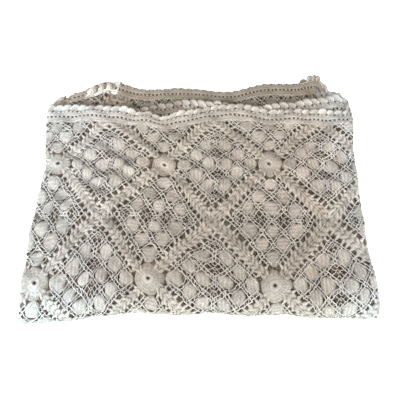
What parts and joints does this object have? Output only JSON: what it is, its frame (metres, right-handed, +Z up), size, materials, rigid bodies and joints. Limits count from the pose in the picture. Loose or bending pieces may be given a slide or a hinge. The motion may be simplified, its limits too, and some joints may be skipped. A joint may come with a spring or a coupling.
{
  "type": "folded crochet bedspread",
  "caption": "Undyed cotton crochet bedspread in popcorn squares with a scalloped edging, folded lengthwise and crosswise into a flat pile.",
  "frame": {"origin": "middle of the folded pile's box, on the surface that it lies on", "axes": "+X across the pile, along the near fold; +Y from the near fold to the hems; +Z up"},
  "size_m": [0.6104, 0.511, 0.0535],
  "materials": {
    "field_cotton": "matte crocheted cotton, undyed ecru, in raised popcorns and open chain net",
    "edging_cotton": "matte crocheted cotton, undyed ecru, in close bands, eyelets and shell scallops"
  },
  "bodies": {
    "root": {"bedspread_field": "field_cotton", "scalloped_edging": "edging_cotton"}
  },
  "joints": []
}
